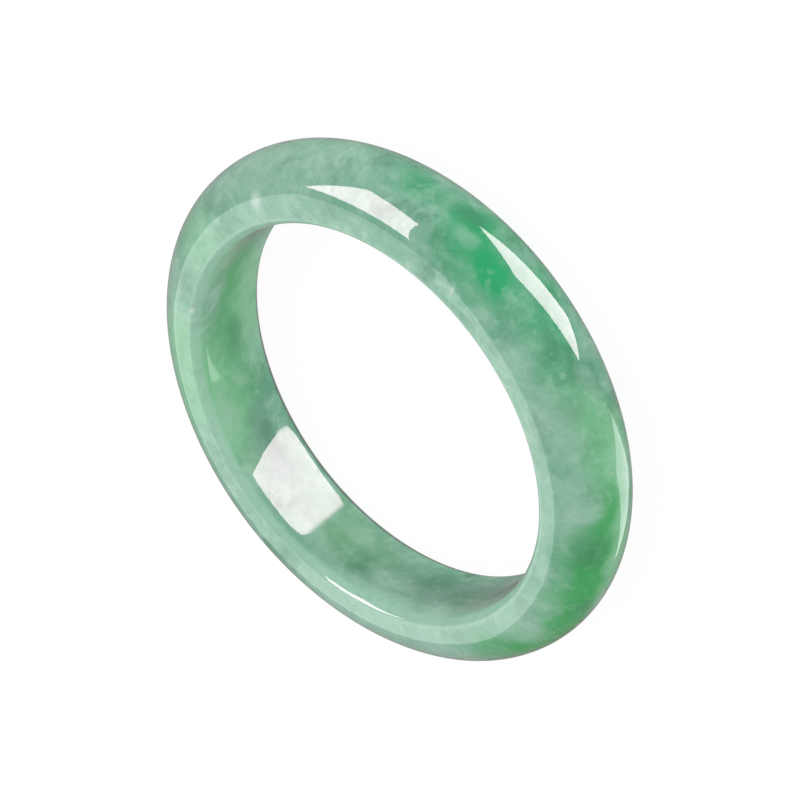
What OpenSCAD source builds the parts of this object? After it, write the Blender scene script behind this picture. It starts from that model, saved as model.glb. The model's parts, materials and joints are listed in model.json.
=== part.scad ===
// Polished stone bangle bracelet: one closed ring of jadeite.
// A blank is core drilled out of a slab and its outside is rounded over. Its two
// sides are then ground flat, and the bore's edges are eased and bevelled.
// The ring lies flat: +Z is its axis, and the origin is the middle of the bore.

/* [Ring] */
// Diameter of the bore, the size that a bangle is sold by
bore_d = 56; // [48:0.5:66]
// Thickness of the stone from the bore to the crown of the dome
wall = 8.7; // [7:0.1:13]
// Width of the ring between its two flat sides
width = 13; // [10:0.1:18]
// Depth that grinding takes off the rounded blank at each side
side_grind = 0.13; // [0.05:0.01:0.5]

/* [Bore] */
// How far the bore opens out between its straight stretch and the bevel
ease_out = 0.15; // [0.05:0.05:0.4]
// Length along the axis that it opens out over
ease_down = 0.8; // [0.4:0.1:2.5]
// Bevel between the bore and a flat side, measured outward
bevel_out = 0.7; // [0.3:0.05:1.2]
// The same bevel, measured along the axis
bevel_down = 1; // [0.4:0.05:1.6]

/* [Hidden] */
stone_green = "#8cc0a2";
$fn = 180;

bore_r = bore_d / 2;
half_width = width / 2;

// The dome's arc touches the crown, and grinding cuts its top off at both sides
dome_r = half_width + side_grind;
dome_x = wall - dome_r;

// The bevel runs between these two points
bevel_start = half_width - bevel_down;
side_inner = ease_out + bevel_out;

// The eased stretch is an arc tangent to the straight one, up to the bevel
half_land = bevel_start - ease_down;
ease_r = (pow(ease_down, 2) + pow(ease_out, 2)) / (2 * ease_out);

// Room that a cutting shape has past the stone
spare = 1;

// In every 2D shape, x is measured outward from the bore wall and y along the axis

// The rounded blank with its two flat sides
module domed_blank() {
    intersection() {
        translate([0, -half_width]) square([wall + spare, width]);
        union() {
            translate([dome_x, 0]) circle(r = dome_r);
            if (dome_x > 0) translate([0, -half_width]) square([dome_x, width]);
        }
    }
}

// What easing takes off the bore wall above its straight stretch
module ease_cut() {
    difference() {
        translate([-spare, half_land]) square([spare + ease_out, ease_down]);
        translate([ease_r, half_land]) circle(r = ease_r);
    }
}

// What the bevel takes off between the eased stretch and the upper side
module bevel_cut() {
    polygon([
        [-spare, bevel_start],
        [ease_out, bevel_start],
        [side_inner, half_width],
        [side_inner, half_width + spare],
        [-spare, half_width + spare]
    ]);
}

module upper_cuts() {
    ease_cut();
    bevel_cut();
}

module section() {
    difference() {
        domed_blank();
        upper_cuts();
        mirror([0, 1]) upper_cuts();
    }
}

module stone_ring() {
    color(stone_green)
    rotate_extrude()
    translate([bore_r, 0]) section();
}

stone_ring();
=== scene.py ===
import math
import json
import bpy
from mathutils import Matrix, Vector


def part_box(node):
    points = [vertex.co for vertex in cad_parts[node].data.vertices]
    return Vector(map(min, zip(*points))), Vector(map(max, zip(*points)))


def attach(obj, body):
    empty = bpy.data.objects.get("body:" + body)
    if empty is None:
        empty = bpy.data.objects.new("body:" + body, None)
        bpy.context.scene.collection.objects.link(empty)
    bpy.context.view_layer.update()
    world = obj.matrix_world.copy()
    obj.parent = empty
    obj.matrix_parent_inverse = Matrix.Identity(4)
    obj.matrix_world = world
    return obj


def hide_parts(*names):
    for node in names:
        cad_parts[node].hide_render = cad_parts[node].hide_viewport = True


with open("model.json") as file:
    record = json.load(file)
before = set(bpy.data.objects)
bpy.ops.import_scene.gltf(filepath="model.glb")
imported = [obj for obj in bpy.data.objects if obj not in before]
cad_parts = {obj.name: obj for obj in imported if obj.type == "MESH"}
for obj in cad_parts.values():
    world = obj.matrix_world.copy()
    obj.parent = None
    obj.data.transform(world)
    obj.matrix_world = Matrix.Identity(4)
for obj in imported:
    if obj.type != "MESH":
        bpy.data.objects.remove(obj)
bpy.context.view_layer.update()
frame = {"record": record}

# --- The view -------------------------------------------------------------
# A long lens looks down on the ring from well above its plane, and the camera
# is rolled far over, so that the ring's axis points down and to the left.
MM = 0.001
view_height = math.radians(37.6)
view_roll = math.radians(125.7)
view_distance = 588 * MM
view_aim = Vector((-0.11, -0.54, -0.75)) * MM

view_back = Vector((0, -math.cos(view_height), math.sin(view_height)))
level_up = Vector((0, math.sin(view_height), math.cos(view_height)))
level_right = Vector((1, 0, 0))
view_right = level_right * math.cos(view_roll) - level_up * math.sin(view_roll)
view_up = level_right * math.sin(view_roll) + level_up * math.cos(view_roll)

camera = bpy.data.objects.new("camera", bpy.data.cameras.new("camera"))
camera.data.sensor_width = 36
camera.data.lens = 208
camera.data.clip_end = 10
turned = Matrix((view_right, view_up, view_back)).transposed().to_4x4()
camera.matrix_world = Matrix.Translation(view_aim + view_back * view_distance) @ turned
bpy.context.scene.collection.objects.link(camera)
bpy.context.scene.camera = camera

# --- The stone ring -------------------------------------------------------
# One closed ring of jadeite. It is core drilled from a slab, its outside is
# rounded over, its two sides are ground flat, and its bore's edges are eased
# and bevelled before the whole ring is polished.
low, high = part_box("stone_ring")
wrist_bore = frame["record"]["mounts"][0]["dims"]
bore_radius = wrist_bore["r_mm"] * MM
land_half = wrist_bore["length_mm"] * MM / 2
outer_radius = min(high.x, high.y, -low.x, -low.y)
half_width = high.z
side_grind = 0.13 * MM
ease_out = 0.15 * MM
bevel_out = 0.7 * MM
bevel_down = 1 * MM
polish_step = 0.15 * MM
polish_rounds = 8
turns_round = 384


def arc(centre, radius, start, end, count):
    """Points on an arc, its last one left for what follows."""
    angles = [start + (end - start) * i / count for i in range(count)]
    return [(centre[0] + radius * math.cos(a), centre[1] + radius * math.sin(a)) for a in angles]


def upper_half():
    """The section's upper half, from the middle of the bore over to the crown."""
    bevel_start = half_width - bevel_down
    ease_length = bevel_start - land_half
    ease_radius = (ease_length ** 2 + ease_out ** 2) / (2 * ease_out)
    ease_turn = math.asin(ease_length / ease_radius)
    dome_radius = half_width + side_grind
    dome_centre = outer_radius - dome_radius
    dome_turn = math.asin(half_width / dome_radius)
    points = [(bore_radius, 0)]
    points += arc((bore_radius + ease_radius, land_half), ease_radius, math.pi, math.pi - ease_turn, 8)
    points += [(bore_radius + ease_out, bevel_start)]
    points += [(bore_radius + ease_out + bevel_out, half_width)]
    points += arc((dome_centre, 0), dome_radius, dome_turn, 0, 60)
    return points + [(outer_radius, 0)]


def evenly(points, step):
    """The same closed outline with points at even distances."""
    loop = points + points[:1]
    spans = [math.dist(a, b) for a, b in zip(loop, loop[1:])]
    count = round(sum(spans) / step)
    even = sum(spans) / count
    placed = []
    walked = 0
    for a, b, span in zip(loop, loop[1:], spans):
        while len(placed) < count and len(placed) * even < walked + span:
            share = (len(placed) * even - walked) / span
            placed.append((a[0] + (b[0] - a[0]) * share, a[1] + (b[1] - a[1]) * share))
        walked += span
    return placed


def polished(points):
    """Each point moves halfway towards its neighbours' middle, which eases the edges."""
    eased = []
    for i, here in enumerate(points):
        before = points[i - 1]
        after = points[(i + 1) % len(points)]
        eased.append(tuple(h / 2 + (b + a) / 4 for h, b, a in zip(here, before, after)))
    return eased


half = upper_half()
outline = half + [(r, -z) for r, z in reversed(half[1:-1])]
outline = evenly(outline, polish_step)
for _ in range(polish_rounds):
    outline = polished(outline)

points = []
for i in range(turns_round):
    turn = 2 * math.pi * i / turns_round
    points += [(r * math.cos(turn), r * math.sin(turn), z) for r, z in outline]
faces = []
for i in range(turns_round):
    here = i * len(outline)
    there = (i + 1) % turns_round * len(outline)
    for j in range(len(outline)):
        k = (j + 1) % len(outline)
        faces.append((here + j, here + k, there + k, there + j))
mesh = bpy.data.meshes.new("jade_ring")
mesh.from_pydata(points, [], faces)
mesh.shade_smooth()
jade_ring = bpy.data.objects.new("jade_ring", mesh)
bpy.context.scene.collection.objects.link(jade_ring)


class Wire:
    """One socket of a shader, which can be used in sums and handed to further nodes."""

    def __init__(self, tree, socket=None):
        self.tree = tree
        self.socket = socket

    def node(self, kind, settings, sockets, out=0):
        """A new node: its settings are set first, then its sockets' values or links."""
        made = self.tree.nodes.new(kind)
        for name, value in settings.items():
            setattr(made, name, value)
        for name, value in sockets.items():
            if isinstance(value, Wire):
                self.tree.links.new(value.socket, made.inputs[name])
            else:
                made.inputs[name].default_value = value
        return Wire(self.tree, made.outputs[out])

    def math(self, operation, *others):
        sockets = dict(enumerate((self, *others)))
        return self.node("ShaderNodeMath", {"operation": operation}, sockets)

    def vector(self, operation, *others, out=0):
        sockets = dict(enumerate((self, *others)))
        return self.node("ShaderNodeVectorMath", {"operation": operation}, sockets, out)

    def __add__(self, other):
        return self.math("ADD", other)

    def __radd__(self, other):
        return self.math("ADD", other)

    def __sub__(self, other):
        return self.math("SUBTRACT", other)

    def __rsub__(self, other):
        return self.math("MULTIPLY_ADD", -1, other)

    def __mul__(self, other):
        return self.math("MULTIPLY", other)

    def __rmul__(self, other):
        return self.math("MULTIPLY", other)

    def between(self, start, end):
        """0 at start, 1 at end, and a smooth rise from one to the other."""
        settings = {"interpolation_type": "SMOOTHSTEP"}
        return self.node("ShaderNodeMapRange", settings, {"Value": self, "From Min": start, "From Max": end})

    def mix(self, first, second):
        """The first colour where this is 0, turning into the second where it is 1.

        A Mix node set to colours has them at sockets 6 and 7, and its result at 2.
        """
        return self.node("ShaderNodeMix", {"data_type": "RGBA"}, {0: self, 6: first, 7: second}, 2)

    def tinted(self, colour, amount):
        """This colour, turned towards another one where amount is high."""
        return amount.mix(self, colour)

    def into(self, shader, name):
        """Joins this to a shader's own socket."""
        self.tree.links.new(self.socket, shader.inputs[name])


def paint(red, green, blue):
    """A shader's colour from the 0 to 255 values that a screen shows."""
    shares = [value / 255 for value in (red, green, blue)]
    return [s / 12.92 if s < 0.04 else ((s + 0.055) / 1.055) ** 2.4 for s in shares] + [1]


jadeite = bpy.data.materials.new("jadeite")
jadeite.use_nodes = True
shader = jadeite.node_tree.nodes["Principled BSDF"]
stone = Wire(jadeite.node_tree)

# Places in the stone are millimetres on the ring's own axes, and wander a little,
# so that no cloud has a drawn outline.
place = stone.node("ShaderNodeTexCoord", {}, {}, "Object").vector("MULTIPLY", (1000, 1000, 1000))


def noise(at, size, detail, roughness, seed, out=0):
    """Soft noise round 0.5, with features of about this size in mm."""
    sockets = {"Vector": at, "W": seed, "Scale": 1 / size, "Detail": detail, "Roughness": roughness}
    return stone.node("ShaderNodeTexNoise", {"noise_dimensions": "4D"}, sockets, out)


def drift(at, size, reach, seed):
    """The same place moved about by noise, up to reach in mm."""
    push = noise(at, size, 2, 0.5, seed, "Color").vector("SUBTRACT", (0.5, 0.5, 0.5))
    return at.vector("ADD", push.vector("MULTIPLY", (2 * reach, 2 * reach, 2 * reach)))


wandered = drift(drift(place, 9, 3, 1), 2.5, 0.9, 2)


def clouds(long, placed):
    """Several clouds as one mask, each full in its middle and 0 at its edge.

    Each has its degrees round the ring, its mm out from the bore's axis and up
    from the middle of the width, half its size in mm, and its strength. They are
    all this many times longer in the ring's plane than they are high.
    """
    full_share = 0.15
    squeezed = wandered.vector("MULTIPLY", (1 / long, 1 / long, 1))
    mask = 0
    for turn, out, up, size, strength in placed:
        angle = math.radians(turn)
        middle = (out * math.cos(angle) / long, out * math.sin(angle) / long, up)
        away = squeezed.vector("DISTANCE", middle, out="Value")
        mask = mask + away.between(size, size * full_share) * strength
    return mask.math("MINIMUM", 1)


sea_green = paint(106, 176, 142)
milky_green = paint(178, 219, 197)
deep_green = paint(70, 142, 104)
grey_green = paint(116, 152, 134)
spring_green = paint(134, 212, 152)
leaf_green = paint(58, 178, 92)
emerald = paint(28, 180, 114)
fleck_white = paint(226, 238, 230)
shaded_grey = paint(98, 114, 106)

# Milky clouds of three sizes lie in the sea green, with some deeper green between.
broad = noise(wandered, 8, 3, 0.55, 3).between(0.38, 0.66)
mottle = noise(wandered, 3, 4, 0.6, 4).between(0.36, 0.68)
grain = noise(wandered, 1.1, 3, 0.6, 5).between(0.35, 0.7)
deeper = noise(wandered, 4, 4, 0.6, 6).between(0.5, 0.68)
colour = (broad * 0.2 + mottle * 0.45 + grain * 0.1).mix(sea_green, milky_green)
colour = colour.tinted(deep_green, deeper * 0.7)

# Whole stretches of the ring are tinted: milky, greyish in part of the bore, a
# light spring green, leaf green, and emerald in one place. In the bore the spring
# green is painted glow, standing in for light shining through the stone.
milky_stretch = clouds(2.5, [
    (345, 34.0, 3.0, 9.3, 0.8),
    (312, 34.0, 3.0, 6.0, 0.4),
    (245, 33.5, 5.5, 3.1, 0.4),
    (30, 33.0, 3.0, 7.9, 0.7),
    (75, 31.5, 6.0, 6.0, 0.6),
    (125, 32.5, 5.8, 6.0, 1.0),
    (150, 33.5, 5.6, 7.0, 1.0),
    (48, 33.0, 5.6, 5.0, 0.9),
    (225, 33.0, 6.0, 4.5, 0.7),
    (252, 33.0, 6.0, 4.5, 0.5),
    (180, 32.0, 6.3, 4.7, 0.8),
    (100, 35.0, -3.0, 8.7, 0.5),
    (330, 34.0, -5.0, 6.2, 0.5),
])
colour = colour.tinted(milky_green, milky_stretch * 0.6)
grey_stretch = clouds(2.2, [
    (120, 28.0, 0.0, 6.9, 0.8),
    (155, 28.0, 0.0, 7.4, 1.0),
    (82, 28.0, 0.0, 4.8, 0.6),
])
colour = colour.tinted(grey_green, grey_stretch * 0.7)
spring_green_and_painted_glow = clouds(2.5, [
    (234, 36.4, 1.0, 5.8, 1.0),
    (212, 36.7, 0.3, 4.2, 1.0),
    (200, 36.7, 0.5, 3.8, 1.0),
    (250, 35.6, 3.2, 3.4, 0.4),
    # In the bore, from about 8 to 66 degrees, the spring green is painted glow: light shining through the
    # stone.
    (66, 28.2, 3.6, 4.4, 1.0),
    (30, 28.2, -4.0, 6.2, 1.0),
    (55, 28.2, 2.5, 4.5, 0.8),
    (8, 28.2, 4.5, 4.3, 0.8),
    (45, 29.5, 6.2, 4.5, 0.8),
    (40, 35.5, -3.5, 6.6, 0.6),
    (112, 36.2, -1.0, 7.0, 0.8),
])
colour = colour.tinted(spring_green, spring_green_and_painted_glow * 0.7)
leafy = clouds(2.2, [
    (198, 35.3, 3.8, 4.2, 1.0),
    (184, 35.0, 3.6, 4.1, 0.9),
    (212, 35.2, 4.0, 3.9, 1.0),
    (224, 36.0, 2.9, 2.6, 0.7),
    (172, 34.0, 4.6, 3.3, 0.7),
    (182, 35.8, 2.4, 3.2, 0.8),
    (205, 35.6, -4.0, 4.5, 0.4),
    (14, 28.0, 0.5, 4.7, 0.9),
    (38, 28.0, 0.5, 4.7, 0.6),
    (58, 28.0, -0.5, 3.1, 0.4),
    (58, 36.0, -4.0, 4.7, 0.5),
    (84, 36.4, 1.0, 4.0, 0.5),
    (143, 36.4, -1.5, 4.5, 0.4),
])
colour = colour.tinted(leaf_green, leafy * 0.95)
emeralds = clouds(1.3, [
    (283, 35.2, 3.6, 6.5, 0.5),
    (279, 35.9, 2.8, 3.6, 0.35),
    (280, 35.8, 2.8, 2.4, 0.6),
    (289, 36.5, -0.2, 5.5, 0.75),
    (270, 36.6, -0.5, 7.5, 0.5),
    (260, 35.8, 2.6, 5.5, 0.3),
    (303, 36.4, 0.5, 4.0, 0.5),
    (286, 34.0, -5.2, 5.1, 0.5),
])
colour = colour.tinted(emerald, emeralds * 0.95)

# Smaller clouds lie over them, most where the stone has one.
shadowed = clouds(1.5, [
    (262, 35.9, 2.6, 2.3, 0.9),
    (255, 36.4, 1.4, 2.4, 0.8),
    (291, 36.7, -0.5, 2.4, 0.9),
    (249, 35.2, 4.0, 2.2, 0.5),
    (196, 35.9, 3.0, 2.4, 0.7),
    (214, 35.0, 4.4, 2.9, 0.9),
    (78, 28.0, -1.5, 2.5, 0.9),
    (45, 28.0, -1.0, 2.5, 0.7),
    (60, 28.0, -3.5, 2.6, 0.5),
    (122, 28.0, 2.4, 2.5, 0.9),
    (121, 28.0, -0.8, 2.1, 0.7),
    (143, 28.0, -1.5, 3.2, 0.9),
    (160, 28.0, 1.0, 3.8, 0.8),
    (174, 28.0, 1.5, 4.2, 0.9),
    (2, 28.0, 1.5, 3.7, 0.9),
    # These last three darken the outer part of the upper flat side.
    (105, 31.2, 6.5, 2.8, 0.5),
    (75, 31.2, 6.5, 2.2, 0.4),
    (25, 31.0, 6.5, 2.6, 0.4),
])
colour = colour.tinted(deep_green, shadowed * 0.6)
milky = clouds(1.8, [
    (185, 33.0, 6.0, 3.3, 0.9),
    (197, 32.4, 6.2, 2.7, 0.7),
    (210, 36.2, 1.6, 1.6, 0.5),
    (198, 36.7, 0.2, 2.4, 0.8),
    (263, 33.4, 5.8, 2.1, 0.8),
    (252, 36.6, 0.3, 2.3, 0.7),
    (232, 36.5, -0.5, 2.9, 0.6),
    (342, 32.5, 5.8, 2.4, 0.8),
    (288, 36.2, 2.2, 1.6, 0.9),
    (296, 33.5, 5.6, 1.6, 0.5),
    (56, 28.0, 0.3, 1.9, 0.8),
    (65, 28.2, 3.8, 3.2, 1.0),
    (33, 28.2, -3.6, 2.8, 0.7),
    (48, 28.2, -4.2, 3.2, 0.8),
    (20, 28.2, -4.2, 2.9, 0.9),
    (108, 28.0, 2.8, 2.7, 0.8),
    (132, 28.0, 1.0, 3.0, 0.8),
    (114, 28.0, -2.4, 2.3, 0.8),
    (155, 28.2, 4.8, 3.8, 0.9),
    (135, 29.5, 6.5, 2.5, 0.5),
])
colour = colour.tinted(milky_green, milky * 0.5)

# The upper bevel by the bore is made paler, a painted reflection, and the lower
# one is made darker, a painted shade.
from_axis = place.vector("MULTIPLY", (1, 1, 0)).vector("LENGTH", out="Value")
height = place.vector("DOT_PRODUCT", (0, 0, 1), out="Value")
by_bore = from_axis.between(29.6, 28.8)
colour = colour.tinted(milky_green, by_bore * height.between(4.9, 5.8) * 0.7)
colour = colour.tinted(shaded_grey, by_bore * height.between(-5.3, -5.7) * 0.8)

# The crystals show as small soft grains, paler and deeper than each other, and a
# few small white flecks stand out.
crystal_size = 0.9
cells = {"Vector": drift(place, 1.2, 0.35, 7), "Scale": 1 / crystal_size, "Smoothness": 0.5}
crystals = stone.node("ShaderNodeTexVoronoi", {"feature": "SMOOTH_F1"}, cells, "Color")
crystals = crystals.vector("DOT_PRODUCT", (1, 0, 0), out="Value")
colour = colour.tinted(milky_green, crystals.between(0.45, 1) * mottle * 0.3)
colour = colour.tinted(deep_green, crystals.between(0.5, 0) * 0.1)
flecks = clouds(1.2, [
    (326, 35.4, 4.2, 1.0, 1.0),
    (302, 32.6, 6.1, 0.8, 0.8),
    (283, 31.0, 6.5, 0.7, 0.6),
    (30, 29.4, 6.5, 0.7, 0.8),
    (342, 31.5, 6.4, 1.2, 0.8),
    (187, 36.6, 1.6, 0.6, 0.7),
])
colour = colour.tinted(fleck_white, flecks * 0.8)

# The polish is high and a little uneven, and less fine inside the bore.
polish = noise(place, 3, 2, 0.5, 9) * 0.02 + 0.02 + from_axis.between(29, 28) * 0.05
colour.into(shader, "Base Color")
polish.into(shader, "Roughness")
shader.inputs["IOR"].default_value = 1.66
shader.inputs["Subsurface Weight"].default_value = 0.25
shader.inputs["Subsurface Radius"].default_value = (0.6, 1.0, 0.7)
shader.inputs["Subsurface Scale"].default_value = 4 * MM
mesh.materials.append(jadeite)

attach(jade_ring, "root")
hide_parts("stone_ring")

# --- The floor ------------------------------------------------------------
# A sheet of white paper that glows a little and so stays pale. The ring lies on it,
# flat on its lower ground side. The ring's polish shows the room in place of it.
floor_half = 3
floor_corners = [(x * floor_half, y * floor_half, low.z) for x, y in ((-1, -1), (1, -1), (1, 1), (-1, 1))]
floor = bpy.data.objects.new("floor", bpy.data.meshes.new("floor"))
floor.data.from_pydata(floor_corners, [], [(0, 1, 2, 3)])
bpy.context.scene.collection.objects.link(floor)
paper = bpy.data.materials.new("paper")
paper.use_nodes = True
paper_shader = paper.node_tree.nodes["Principled BSDF"]
paper_shader.inputs["Base Color"].default_value = (0.1, 0.1, 0.1, 1)
paper_shader.inputs["Specular IOR Level"].default_value = 0
paper_shader.inputs["Roughness"].default_value = 1
paper_shader.inputs["Emission Color"].default_value = (1, 1, 1, 1)
paper_shader.inputs["Emission Strength"].default_value = 0.93
floor.data.materials.append(paper)
floor.visible_glossy = False
floor.visible_diffuse = False
floor.visible_transmission = False
floor.visible_shadow = False

# --- The lights -----------------------------------------------------------
# Two softboxes and two dim cards stand round the ring in an even grey room. Places
# and directions are measured from the ring, to the right, up and back to the camera.
def from_view(right, up, back):
    return view_right * right + view_up * up + view_back * back


def softbox(name, place, across, upright, size, power, colour=(1, 1, 1), gloss=True):
    """A flat light, seen only in the polish or lighting only the stone's body."""
    box = bpy.data.lights.new(name, "AREA")
    box.shape = "RECTANGLE"
    box.size = size[0] * MM
    box.size_y = size[1] * MM
    box.energy = power
    box.color = colour
    lamp = bpy.data.objects.new(name, box)
    x_axis = from_view(*across).normalized()
    z_axis = x_axis.cross(from_view(*upright)).normalized()
    y_axis = z_axis.cross(x_axis)
    facing = Matrix((x_axis, y_axis, z_axis)).transposed().to_4x4()
    lamp.matrix_world = Matrix.Translation(from_view(*place) * MM) @ facing
    lamp.visible_camera = False
    lamp.visible_glossy = gloss
    lamp.visible_diffuse = not gloss
    bpy.context.scene.collection.objects.link(lamp)


# Each softbox has its place, the directions of its width and height, and its size,
# in mm. A glow stands in for it on the stone's body, where it is much weaker.
left = ((-358, 144, 231), (-0.03, -0.77, -0.64), (0.38, -0.60, 0.70), (312, 216))
right = ((336, 266, 138), (-0.56, 0.65, 0.51), (0.29, -0.43, 0.86), (352, 270))
rose_white = (1, 0.76, 0.88)
softbox("left_softbox", *left, 1.95, rose_white)
softbox("right_softbox", *right, 2.8, rose_white)
softbox("left_card", (-420, -154, -42), (0.60, -0.18, -0.78), (0.63, -0.51, 0.59), (476, 352), 0.7)
softbox("far_card", (388, -91, -209), (0.52, 0.21, 0.83), (-0.47, -0.75, 0.48), (278, 218), 0.36)
softbox("left_glow", *left, 0.5, gloss=False)
softbox("right_glow", *right, 0.5, gloss=False)


# Two grey cards, which only the bore's polish shows. One lies under a part of the
# ring's opening. The other is bent like the bore and stands 2 mm in front of it,
# where it masks the lower corners of the left softbox's reflection.
def on_circle(radius, turn, up):
    return radius * math.cos(math.radians(turn)), radius * math.sin(math.radians(turn)), up


under_height = low.z - 0.3 * MM
under_turns = range(-75, 71, 5)
under_card = [on_circle(bore_radius, turn, under_height) for turn in under_turns]
under_card += [(3.4 * MM, 19 * MM, under_height)]
mask_radius = bore_radius - 2 * MM
mask_top = 4.5 * MM
mask_edge = [(74, -4), (79, -3.7), (81, -0.3), (84, 3.2), (92, 3.3)]
mask_edge += [(100, 3.3), (103.5, 2.7), (105.5, 0.3), (108.5, -0.5)]
card_points = under_card + [on_circle(mask_radius, turn, up * MM) for turn, up in mask_edge]
card_points += [on_circle(mask_radius, turn, mask_top) for turn, up in mask_edge]
card_faces = [tuple(range(len(under_card)))]
for i in range(len(under_card), len(under_card) + len(mask_edge) - 1):
    card_faces.append((i, i + 1, i + 1 + len(mask_edge), i + len(mask_edge)))
grey_cards = bpy.data.objects.new("grey_cards", bpy.data.meshes.new("grey_cards"))
grey_cards.data.from_pydata(card_points, [], card_faces)
bpy.context.scene.collection.objects.link(grey_cards)
card_paint = bpy.data.materials.new("card_paint")
card_paint.use_nodes = True
card_shader = card_paint.node_tree.nodes["Principled BSDF"]
card_shader.inputs["Base Color"].default_value = (0, 0, 0, 1)
card_shader.inputs["Specular IOR Level"].default_value = 0
card_shader.inputs["Emission Color"].default_value = (0.4, 0.38, 0.4, 1)
card_shader.inputs["Emission Strength"].default_value = 1
grey_cards.data.materials.append(card_paint)
grey_cards.visible_camera = False
grey_cards.visible_diffuse = False
grey_cards.visible_transmission = False
grey_cards.visible_shadow = False

# The room is grey in the polish, a little darker straight ahead of the camera. It
# lights the stone's body evenly, and the camera itself sees it white.
room_grey = (0.36, 0.34, 0.36, 1)
ahead_grey = (0.34, 0.27, 0.30, 1)
world = bpy.data.worlds.new("studio")
world.use_nodes = True
room = Wire(world.node_tree)
lights_stone = room.node("ShaderNodeLightPath", {}, {}, "Is Diffuse Ray")
seen = room.node("ShaderNodeLightPath", {}, {}, "Is Camera Ray")
direction = room.node("ShaderNodeTexCoord", {}, {}, "Generated")
ahead = direction.vector("DOT_PRODUCT", tuple(-view_back), out="Value").between(0.6, 0.9)
walls = ahead.mix(room_grey, ahead_grey)
walls = walls.tinted((0.8, 0.8, 0.8, 1), lights_stone).tinted((1, 1, 1, 1), seen)
background = world.node_tree.nodes["Background"]
background.inputs["Strength"].default_value = 1
walls.into(background, "Color")
bpy.context.scene.world = world
bpy.context.scene.view_settings.view_transform = "Standard"
